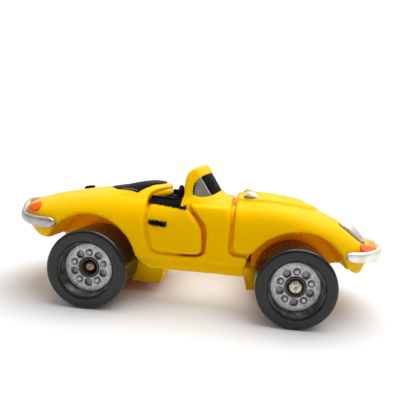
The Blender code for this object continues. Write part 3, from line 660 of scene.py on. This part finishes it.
def mirrored_pair(name, points, quads, mat, nodes, slot):
    """The right-hand piece and its mirror image on the left."""
    for word, flip in (("right", 1), ("left", -1)):
        turned = quads if flip == 1 else quads[:, ::-1]
        replaced = [f"{nodes}_{word}"] if nodes else []
        mesh_object(f"{name}_{word}", points * (1, flip, 1), turned, mat, "car_body", replaced)


def inlay(low, high, step, outline, proud, depth, r):
    """Points and quads of a piece that follows the body's surface inside an outline."""
    grid = Grid(low, high, step)
    outer, _ = body_distance(grid)
    skin = np.maximum(outer - proud, -outer - depth)
    field = soft_max(skin, outline(grid), r)
    points, quads = net(np.broadcast_to(field, outer.shape), grid.origin, step)
    return relaxed(points, quads, 2), quads


TAIL_LAMP = [(-17.3, 18.0), (-13.4, 19.8), (-11.8, 19.1), (-12.2, 18.0), (-15.2, 17.8)]
INDICATOR = [(54.2, 16.5), (58.9, 15.0), (57.8, 13.9), (53.9, 15.3)]
LENS_X, LENS_Y, LENS_LONG, LENS_WIDE, LENS_SLANT = 53.0, -8.5, 2.9, 1.65, 0.30
LENS_RISE = 1.1


def lens_outline(g):
    """A teardrop in plan, laid along the fender and slanting in towards the nose."""
    across = (g.y - LENS_Y) - LENS_SLANT * (g.x - LENS_X)
    along = (g.x - LENS_X) / LENS_LONG
    width = LENS_WIDE * (1 + 0.18 * along)
    return (np.sqrt(along**2 + (across / width)**2) - 1) * LENS_WIDE + 0 * g.z


def make_lamps():
    tail_edge = rounded(TAIL_LAMP, 0.18, 2)
    tail = inlay((-18.2, -14.6, 17.0), (-11.0, -8.0, 20.6), 0.1,
                 lambda g: outline_distance(tail_edge, g.x, g.z) + 0 * g.y, 0.25, 0.8, 0.2)
    mirrored_pair("tail_lamp_lens", *tail, TAIL_PAINT, "tail_lamp", "orange_lamp")
    front_edge = rounded(INDICATOR, 0.15, 2)
    front = inlay((53.0, -12.6, 13.0), (59.8, -4.0, 17.4), 0.1,
                  lambda g: outline_distance(front_edge, g.x, g.z) + 0 * g.y, 0.35, 0.8, 0.2)
    mirrored_pair("indicator_lens", *front, INDICATOR_PAINT, "indicator", "orange_lamp")
    make_headlight()


def make_headlight():
    """A domed cover in a thin dark ring."""
    grid = Grid((48.0, -11.8, 14.0), (58.0, -4.2, 23.4), 0.1)
    outer, _ = body_distance(grid)
    edge = lens_outline(grid)
    dome = LENS_RISE * np.sqrt(np.clip(-edge / LENS_WIDE, 0, 1))
    cover = soft_max(np.maximum(outer - 0.10 - dome, -outer - 0.8), edge, 0.2)
    points, quads = net(cover, grid.origin, grid.step)
    mirrored_pair("headlight_lens", relaxed(points, quads, 2), quads, LENS, "headlight_cover", "clear_lens")
    ring = soft_max(np.abs(edge - 0.04) - 0.09, np.abs(outer - 0.02) - 0.18, 0.08)
    points, quads = net(ring, grid.origin, grid.step)
    mirrored_pair("headlight_ring", relaxed(points, quads, 1), quads, DARK_EDGE, None, "black_paint")


TONNEAU = [(-0.8, -4.2), (2.2, -8.4), (7.4, -10.2), (9.1, -7.4), (10.2, -3.8), (10.5, 0.0),
           (10.2, 3.8), (9.1, 7.4), (7.4, 10.2), (2.2, 8.4), (-0.8, 4.2)]


def make_tonneau():
    """The folded top, one hard glossy moulding with a bowed front edge."""
    points, quads = inlay((-4.0, -11.4, 21.0), (11.0, 11.4, 27.4), 0.15,
                          lambda g: outline_distance(TONNEAU, g.x, g.y) + 0 * g.z, 0.28, 0.5, 0.5)
    mesh_object("folded_top", points, quads, BLACK_PAINT, "car_body", ["tonneau_cover"])


def make_tonneau_highlight():
    """A pale grey bar along each side edge of the folded top: a painted highlight where the edge catches
    the light.
    """
    for word, side in (("right", -1), ("left", 1)):
        path = []
        for t in np.linspace(0, 1, 14):
            x, y = 3.6 + 3.6 * t, 8.85 + 0.95 * t
            path.append((x, side * y, surface_z(x, y) + 0.24))
        points, quads = tube(path, 0.11, 8)
        mesh_object(f"folded_top_highlight_{word}", points, quads, SIDE_GLASS, "car_body", [])


def make_fuel_cap():
    x, y = -10.6, 4.6
    points, quads = inlay((x - 2, y - 2, 20.5), (x + 2, y + 2, 24.0), 0.08,
                          lambda g: np.hypot(g.x - x, g.y - y) - 1.3 + 0 * g.z, 0.75, 0.3, 0.5)
    mesh_object("filler_cap", points, quads, BLACK_PAINT, "car_body", ["fuel_cap"])


def make_vents():
    """A teardrop blister on each side of the hood, blunt at the back and pointed at the front."""
    x, y = 31.6, -7.3
    level = surface_z(x, y)
    grid = Grid((x - 3, y - 2, level - 1), (x + 3, y + 2, level + 2), 0.08)
    along = (grid.x - x) / 1.6
    width = 0.80 * (1 - 0.35 * along)
    height = 1.25 * (1 - 0.25 * along)
    base = level - 0.10 - 0.10 * (grid.x - x)
    field = (np.sqrt(along**2 + ((grid.y - y) / width)**2 + ((grid.z - base) / height)**2) - 1) * 0.85
    blister = soft_max(field, base - 0.4 - grid.z, 0.2)
    points, quads = net(blister, grid.origin, grid.step)
    mirrored_pair("vent_blister", relaxed(points, quads, 1), quads, VENT, "hood_vent", "silver_trim")
    outline = soft_max(np.abs(field - 0.05) - 0.09, np.abs(grid.z - base - 0.12) - 0.16, 0.08)
    points, quads = net(outline, grid.origin, grid.step)
    mirrored_pair("vent_outline", relaxed(points, quads, 1), quads, DARK_EDGE, None, "black_paint")


# ------------ windshield

def front_pane_x(y, z):
    """Where the raked, slightly bowed front plane of the windshield stands."""
    return 24.1 - 0.68 * (z - 25.0) - 0.028 * y**2


def side_pane_y(x, z):
    """Half width at the windshield's side plane, which leans in and narrows towards the front."""
    return 11.2 - 0.43 * (x - 17.4) - 0.27 * (z - 23.0)


def windshield_faces(g):
    """Distances to the windshield's front plane and to its side plane."""
    y = np.abs(g.y)
    return (g.x - front_pane_x(y, g.z)) / 1.21, (y - side_pane_y(g.x, g.z)) / 1.12


def windshield_sheet(g):
    """Distance to the outer face of the raked, wrapped windshield."""
    outer = soft_max(*windshield_faces(g), 0.5)
    return soft_max(outer, (g.z - 29.85 - 0.66 * (g.x - 19.7)) / 1.2, 1.0)


def windshield_opening(g):
    lower = 22.7 + 0.2 * (g.x - 19.7) + 0.7 * np.clip(1 - (g.y / 9.0)**2, 0, 1) - g.z
    upper = (g.z - 27.75 - 0.62 * (g.x - 20.9)) / 1.18
    return soft_max(soft_max(19.2 - g.x, upper, 1.6), lower, 1.6)


def ragged(x, z, size):
    """A brushed edge: a sum of waves that don't repeat over the car's length."""
    waves = np.sin(7.1 * x + 1.3) + np.sin(13.7 * x - 5.0 * z) + np.sin(4.3 * x + 11.0 * z + 0.6)
    return size * waves / 2


def make_windshield():
    grid = Grid((15.6, 0, 19.8), (26.6, 12.2, 30.6), 0.12, mirrored=True)
    outer = windshield_sheet(grid)
    sheet = soft_max(outer, -outer - 1.6, 0.9)
    sheet = soft_max(sheet, 17.0 + 0.12 * np.abs(grid.z - 25.5) - grid.x, 1.2)
    sheet = soft_max(sheet, 20.2 - grid.z, 0.8)
    opening = windshield_opening(grid)
    sheet = soft_max(sheet, -opening, 0.4)
    body, _ = body_distance(grid)
    joined = soft_max(soft_min(sheet, body + 0.06, 1.6), sheet - 0.9, 0.3)
    joined = np.maximum(joined, COCKPIT_X[1] - 3.2 - grid.x)
    solid("windshield_surround", grid, joined, YELLOW, ["windshield_frame"])
    front, side = windshield_faces(grid)
    pane = np.maximum(np.maximum(outer + 0.2, -outer - 0.8), opening - 0.4)
    for name, share, mat in (("windshield_glass", side - front, GLASS),
                             ("windshield_side_glass", front - side, SIDE_GLASS)):
        solid(name, grid, np.maximum(pane, share), mat, ["windshield_pane"])
    edge = np.abs(opening - 0.02) - 0.12 + ragged(grid.x, grid.z, 0.16) + 0.08 * np.sin(27.0 * grid.z)
    edge = edge + 0.5 * ease(grid.z, 26.0, 27.4) + 0.5 * ease(grid.x, 20.0, 21.0)
    paint = np.maximum(edge, np.maximum(outer - 0.05, -outer - 0.5))
    solid("windshield_paint_edge", grid, paint, BLACK_PAINT, [], smooth=1)
    make_pane_crease_highlight()


def make_pane_crease_highlight():
    """A thin silver bar along the crease where the front pane meets each side pane: a painted highlight on
    that crease.
    """
    for word, side in (("right", -1), ("left", 1)):
        path = []
        for z in np.linspace(23.3, 27.6, 12):
            y = 9.0
            # The line stands on both planes, so x and y are worked out in turn until they agree
            for _ in range(20):
                x = front_pane_x(y, z)
                y = side_pane_y(x, z)
            path.append((x - 0.24, side * (y - 0.20), z))
        points, quads = tube(path, 0.09, 8)
        mesh_object(f"pane_crease_highlight_{word}", points, quads, CHROME, "car_body", [])


def tube(path, radius, sides):
    """Points and quads of a round bar along a path."""
    path = np.array(path)
    along = np.gradient(path, axis=0)
    along /= np.linalg.norm(along, axis=1)[:, None]
    first = np.cross(along, (0.0, 1.0, 0.0))
    first /= np.linalg.norm(first, axis=1)[:, None]
    second = np.cross(along, first)
    a = np.linspace(0, 2 * math.pi, sides, endpoint=False)[None, :, None]
    rings = path[:, None] + radius * (np.cos(a) * first[:, None] + np.sin(a) * second[:, None])
    n = len(path)
    quads = [(i * sides + k, (i + 1) * sides + k, (i + 1) * sides + (k + 1) % sides,
              i * sides + (k + 1) % sides) for i in range(n - 1) for k in range(sides)]
    quads.append(tuple(range(sides)))
    quads.append(tuple(range((n - 1) * sides, n * sides))[::-1])
    return rings.reshape(-1, 3), quads


# ------------ brushed black paint

def make_door_paint():
    """Black brushed over the door's top edge, and on its handle, with ragged outlines."""
    for side, word in ((-1, "right"), (1, "left")):
        low_y, high_y = sorted((side * 9.6, side * 15.4))
        grid = Grid((9.6, low_y, 20.2), (20.2, high_y, 22.9), 0.1)
        outer, _ = body_distance(grid)
        x, y, z = grid.x, np.abs(grid.y), grid.z
        line = 21.45 - 0.09 * (x - 10.0) + ragged(x, z * 0, 0.10) + 0.07 * np.sin(29.0 * x)
        paint = np.maximum(np.maximum(outer - 0.10, line - z), z - RIM_Z - 0.09)
        paint = np.maximum(paint, np.maximum(COCKPIT_Y - 0.2 - y, np.maximum(10.15 - x, x - 18.2)))
        solid(f"rim_paint_{word}", grid, paint, BLACK_PAINT, [], smooth=1)
        low_y, high_y = sorted((side * 12.4, side * 15.8))
        grid = Grid((10.6, low_y, 16.4), (15.4, high_y, 19.0), 0.08)
        outer, _ = body_distance(grid)
        x, z = grid.x, grid.z
        bar = soft_max(np.abs(x - 12.95) - 1.75, np.abs(z - 17.72 + 0.07 * (x - 12.95)) - 0.46, 0.5)
        bar = bar + ragged(x, z, 0.14) + 0.12 * np.sin(23.0 * x + 9.0 * z)
        handle = np.maximum(np.maximum(bar, outer - 0.24), -outer - 0.6)
        solid(f"door_handle_{word}", grid, handle, BLACK_PAINT, [], smooth=1)


# ------------ bumpers

def bumper(name, tip, root, half, power, ahead, low, high, mat, node_name):
    """A blade with a rounded face, carried round one end of the car and tapered at its two ends."""
    count, sides, thick = 120, 16, 0.95
    share = np.linspace(0, math.pi, count + 1)
    s, c = np.sin(share), np.cos(share)
    x = root + (tip - root) * np.abs(s)**(2 / power)
    y = -ahead * half * np.copysign(np.abs(c)**(2 / power), c)
    along = np.stack([np.gradient(x), np.gradient(y)], 1)
    along /= np.linalg.norm(along, axis=1)[:, None]
    travelled = np.concatenate([[0], np.cumsum(np.hypot(np.diff(x), np.diff(y)))])
    to_end = np.minimum(travelled, travelled[-1] - travelled)
    taper = np.sqrt(np.clip(1 - (1 - np.clip(to_end / 1.6, 0, 1))**2, 0.02, 1))
    points = []
    for i in range(count + 1):
        bottom, top = low(s[i]), high(s[i])
        middle, reach = (top + bottom) / 2, (top - bottom) / 2 * taper[i]
        for k in range(sides):
            a = 2 * math.pi * k / sides
            out = (thick * taper[i]) * (0.35 + 0.65 * np.sign(np.cos(a)) * abs(np.cos(a))**0.7) - 0.25
            up = reach * np.sign(np.sin(a)) * abs(np.sin(a))**0.7
            points.append((x[i] + along[i, 1] * out, y[i] - along[i, 0] * out, middle + up))
    quads = [(i * sides + k, i * sides + (k + 1) % sides, (i + 1) * sides + (k + 1) % sides,
              (i + 1) * sides + k) for i in range(count) for k in range(sides)]
    quads.append(tuple(range(sides))[::-1])
    quads.append(tuple(range(count * sides, (count + 1) * sides)))
    mesh_object(name, np.array(points), quads, mat, "car_body", [node_name])


def make_bumpers():
    bumper("front_blade", 61.55, 50.3, 13.9, 1.8, 1,
           lambda s: 13.4 - 1.6 * s * s, lambda s: 15.3, CHROME, "front_bumper")
    bumper("rear_blade", -20.2, -7.4, 14.9, 2.15, -1,
           lambda s: 15.0 + 1.2 * s * s, lambda s: 17.3 + 1.9 * math.exp(-((s - 0.97) / 0.11)**2),
           DARKER_SILVER, "rear_bumper")


# ------------ wheels

def turned(profile, count):
    """Points and quads of a (radius, depth) profile turned about the wheel's axis."""
    a = np.linspace(0, 2 * math.pi, count, endpoint=False)
    points = [(r * np.cos(t), d, r * np.sin(t)) for t in a for r, d in profile]
    n = len(profile)
    quads = [(i * n + j, i * n + (j + 1) % n, ((i + 1) % count) * n + (j + 1) % n,
              ((i + 1) % count) * n + j) for i in range(count) for j in range(n)]
    return np.array(points), np.array(quads)


def tyre_shape():
    """Flat sidewall with a fine bead ring, a rounded shoulder and a smooth, flat tread."""
    width = TYRE_FACE - TYRE_INNER
    face = [(HUB_R + 0.08, 0.9), (HUB_R + 0.08, 0.28), (HUB_R + 0.18, 0.14), (HUB_R + 0.34, 0.10),
            (HUB_R + 0.50, 0.04), (HUB_R + 0.75, 0.0), (TYRE_R - 0.75, 0.0)]
    corner = [(TYRE_R - 0.70 + 0.70 * math.sin(t), 0.70 - 0.70 * math.cos(t))
              for t in (math.pi / 2 * i / 8 for i in range(9))]
    tread = [(TYRE_R, 0.5 + width * k / 6) for k in range(1, 6)]
    back = [(r, width - d) for r, d in corner[::-1]] + [(HUB_R + 0.5, width), (HUB_R + 0.08, width - 0.2)]
    return turned(face + corner + tread + back, 144)


def bush_shape():
    """Black centre: a countersunk rim, then a bore down to the axle's end."""
    top = 1.72
    rim = CORE_R - 0.02
    return turned([(rim, 4.7), (rim, top - 0.12), (rim - 0.08, top - 0.22), (rim - 0.30, top - 0.20),
                   (rim - 0.44, top - 0.05), (AXLE_R + 0.22, top + 0.55), (AXLE_R + 0.10, top + 0.9),
                   (AXLE_R + 0.08, 4.7)], 72)


def hub_wall_shape():
    """Stepped wall round the dished disc, with a thin lip at its outer end."""
    steps = [(HUB_WALL, 1.75), (HUB_WALL - 0.06, 1.42), (HUB_WALL - 0.15, 1.34), (HUB_WALL - 0.20, 0.95),
             (HUB_WALL - 0.29, 0.88), (0.17, 0.32), (0.08, 0.22), (0.0, 0.25)]
    return turned([(HUB_R, 2.4), (HUB_R - HUB_WALL, 2.4)] + [(HUB_R - a, d) for a, d in steps], 96)


def hub_shape():
    """Dished disc with a ring of holes, and nubs in shallow pockets between them."""
    grid = Grid((-HUB_R - 0.3, -0.2, -HUB_R - 0.3), (HUB_R + 0.3, 5.2, HUB_R + 0.3), 0.085)
    r = np.hypot(grid.x, grid.z)
    depth = grid.y
    disc = HUB_DISC_DEPTH
    face_r = HUB_R - HUB_WALL
    outline = [(face_r, disc), (face_r, 4.8), (CORE_R, 4.8), (CORE_R, disc)]
    radii = np.arange(0, HUB_R + 1.5, 0.04)
    depths = grid.y.ravel()
    table = outline_distance(outline, radii[:, None], depths[None, :])
    column = np.clip(r / 0.04, 0, len(radii) - 1.01)
    base = column.astype(int)
    share = column - base
    levels = np.broadcast_to(np.arange(len(depths))[None, :, None], (r.shape[0], len(depths), r.shape[2]))
    base = np.broadcast_to(base, levels.shape)
    field = table[base, levels] * (1 - share) + table[base + 1, levels] * share
    for i in range(2 * HUB_HOLES):
        a = math.pi / 2 + math.pi * i / HUB_HOLES
        away = np.hypot(grid.x - HUB_PITCH_R * math.cos(a), grid.z - HUB_PITCH_R * math.sin(a))
        if i % 2:
            hole = np.maximum(away - HUB_HOLE_R, depth - disc - 0.60)
            field = soft_max(field, -hole, 0.22)
        else:
            field = soft_max(field, -np.maximum(away - HUB_POCKET_R, depth - disc - 0.14), 0.1)
            nub = soft_max(away - HUB_NUB_R, disc - 0.30 - depth, 0.35)
            field = soft_min(field, np.maximum(nub, depth - disc - 0.5), 0.08)
    points, quads = net(field, grid.origin, grid.step)
    return relaxed(points, quads, 1), quads


def axle_shape(radius, end):
    """Half of an axle: a slightly domed face with a chamfer, on the plain rod."""
    return turned([(0.001, end), (0.5 * radius, end + 0.01), (0.75 * radius, end + 0.05),
                   (0.92 * radius, end + 0.14), (radius, end + 0.3), (radius, end + 1.4),
                   (AXLE_R, end + 1.5), (AXLE_R, TYRE_FACE), (0.001, TYRE_FACE)], 48)


def make_wheels():
    shapes = (("tyre_ring", tyre_shape(), RUBBER, "tyre", "tyre_rubber"),
              ("hub_dish", hub_shape(), HUB, "hub", "hub_silver"),
              ("hub_wall", hub_wall_shape(), DARK_HUB_WALL, None, "hub_silver"),
              ("bush_core", bush_shape(), BUSH, "bush", "black_plastic"))
    for end, x in (("rear", 0.0), ("front", WHEELBASE)):
        for word, side in (("right", -1), ("left", 1)):
            for piece, (points, quads), mat, cad, slot in shapes:
                moved = points * (1, -side, 1) + (x, side * TYRE_FACE, AXLE_Z)
                turned_quads = quads if side < 0 else quads[:, ::-1]
                mesh_object(f"{end}_{word}_{piece}", moved, turned_quads, mat, f"{end}_wheels",
                            [f"{end}_{word}_{cad}"] if cad else [])
            radius, depth, mat = (0.72 * AXLE_R, 2.0, SHADED_AXLE_END) if end == "rear" else (AXLE_R, 1.35, STEEL)
            points, quads = axle_shape(radius, depth)
            moved = points * (1, -side, 1) + (x, side * TYRE_FACE, AXLE_Z)
            turned_quads = quads if side < 0 else quads[:, ::-1]
            mesh_object(f"{end}_{word}_half_axle", moved, turned_quads, mat, f"{end}_wheels",
                        [f"{end}_axle"])


# ------------ cabin

def make_cockpit_pads():
    """A hard black rail with rounded edges, moulded inside each door."""
    for side, word in ((-1, "right"), (1, "left")):
        low_y, high_y = sorted((side * 8.6, side * 10.9))
        grid = Grid((9.6, low_y, 20.4), (18.4, high_y, 23.6), 0.1)
        length = soft_max(10.2 - grid.x, grid.x - 17.0, 0.5)
        height = soft_max(21.0 - grid.z, grid.z - 22.85 + 0.03 * (grid.x - 10.0), 0.4)
        pad = soft_max(soft_max(length, height, 0.5), np.abs(np.abs(grid.y) - 9.75) - 0.6, 0.5)
        solid(f"cockpit_pad_{word}", grid, pad, BLACK_PAINT, [], smooth=1)


def make_steering_wheel():
    """A thick rim on three spokes, with a boss and the end of its column."""
    low, high = span("steering_wheel")
    centre_y, centre = (low.y + high.y) / 2, (15.9, 22.6)
    grid = Grid((12.6, centre_y - 3.2, 19.4), (20.2, centre_y + 3.2, 25.8), 0.1)
    lean = math.radians(9)
    u = (grid.x - centre[0]) * math.cos(lean) + (grid.z - centre[1]) * math.sin(lean)
    v = (grid.z - centre[1]) * math.cos(lean) - (grid.x - centre[0]) * math.sin(lean)
    y = grid.y - centre_y
    r = np.hypot(y, v)
    field = np.hypot(r - 2.15, u) - 0.42
    for angle in (90, 210, 330):
        c, s = math.cos(math.radians(angle)), math.sin(math.radians(angle))
        spoke = soft_max(np.abs(y * s - v * c) - 0.35, np.abs(u) - 0.22, 0.2)
        spoke = np.maximum(spoke, np.maximum(-(y * c + v * s), r - 2.1))
        field = soft_min(field, spoke, 0.2)
    field = soft_min(field, soft_max(r - 0.65, np.abs(u) - 0.4, 0.3), 0.2)
    field = soft_min(field, np.maximum(r - 0.45, np.maximum(-u, u - 3.2)), 0.2)
    solid("steering_wheel_rim", grid, field, BLACK_PLASTIC, ["steering_wheel"])


# ------------ stage

def make_stage():
    half = 2.0
    corners = [(-half, -half, 0), (half, -half, 0), (half, half, 0), (-half, half, 0)]
    mesh = bpy.data.meshes.new("floor")
    mesh.from_pydata(corners, [], [(0, 1, 2, 3)])
    floor = bpy.data.objects.new("floor", mesh)
    bpy.context.scene.collection.objects.link(floor)
    mat, tree, shader = new_material("pale_floor")
    place = millimetres(tree)
    shade = remap(tree, noise(tree, place, 0.02), 0.3, 0.7, 0.0, 1.0)
    set_inputs(tree, shader, Base_Color=blend(tree, shade, rgb(0.68, 0.68, 0.69), rgb(0.71, 0.71, 0.72)),
               Roughness=0.8)
    mesh.materials.append(mat)


def make_world():
    """A white backdrop, and for the light a soft sky, dim low down and on the car's right."""
    world = bpy.data.worlds.new("studio")
    world.use_nodes = True
    tree = world.node_tree
    direction = node(tree, "ShaderNodeTexCoord").outputs["Generated"]
    parts = node(tree, "ShaderNodeSeparateXYZ", {0: direction})
    overhead = remap(tree, parts.outputs["Z"], 0.05, 0.65, 0.28, 1.15)
    near_side = remap(tree, parts.outputs["Y"], -0.60, 0.0, 0.30, 1.0)
    sky = calc(tree, "MULTIPLY", overhead, near_side)
    seen = node(tree, "ShaderNodeLightPath").outputs["Is Camera Ray"]
    strength = calc(tree, "MAXIMUM", sky, calc(tree, "MULTIPLY", seen, 1.05))
    background = tree.nodes["Background"]
    background.inputs["Color"].default_value = rgb(1.0, 1.0, 1.0)
    tree.links.new(strength, background.inputs["Strength"])
    bpy.context.scene.world = world
    bpy.context.scene.view_settings.view_transform = "Standard"


def make_sun():
    """One large soft light, almost overhead, a little ahead of the car and on its left."""
    data = bpy.data.lights.new("soft_sun", "SUN")
    data.energy = 2.9
    data.angle = 1.0
    lamp = bpy.data.objects.new("soft_sun", data)
    bpy.context.scene.collection.objects.link(lamp)
    lamp.rotation_euler = Vector((-0.26, -0.12, -0.96)).to_track_quat("-Z", "Y").to_euler()


def make_floor_fill():
    """A weak panel under the belly that lifts the shadow on the floor."""
    data = bpy.data.lights.new("floor_fill", "AREA")
    data.shape = "RECTANGLE"
    data.size = 0.024
    data.size_y = 0.020
    data.energy = 0.0022
    lamp = bpy.data.objects.new("floor_fill", data)
    bpy.context.scene.collection.objects.link(lamp)
    lamp.location = (REAR_X / MM + 0.020, 0.0, 0.0078)
    lamp.visible_camera = False


def make_camera():
    """A close camera by the car's right side, turned and rolled a little and tilted down five degrees."""
    data = bpy.data.cameras.new("camera")
    data.sensor_width = 36.0
    data.lens = 27.0
    data.clip_start = 0.001
    data.shift_x = -0.0644
    data.shift_y = -0.0126
    camera = bpy.data.objects.new("camera", data)
    bpy.context.scene.collection.objects.link(camera)
    camera.location = (0.00844, -0.07212, 0.02985)
    turn, tilt, roll = -0.0493, 0.0917, 0.0774
    forward = Vector((math.sin(turn) * math.cos(tilt), math.cos(turn) * math.cos(tilt), -math.sin(tilt)))
    camera.rotation_euler = forward.to_track_quat("-Z", "Y").to_euler()
    camera.rotation_euler.rotate_axis("Z", roll)
    bpy.context.scene.camera = camera


dress_cad_nodes()
make_body()
make_doors()
make_lamps()
make_tonneau()
make_tonneau_highlight()
make_fuel_cap()
make_vents()
make_windshield()
make_door_paint()
make_bumpers()
make_wheels()
make_cockpit_pads()
make_steering_wheel()
make_stage()
make_world()
make_sun()
make_floor_fill()
make_camera()
bpy.context.view_layer.update()
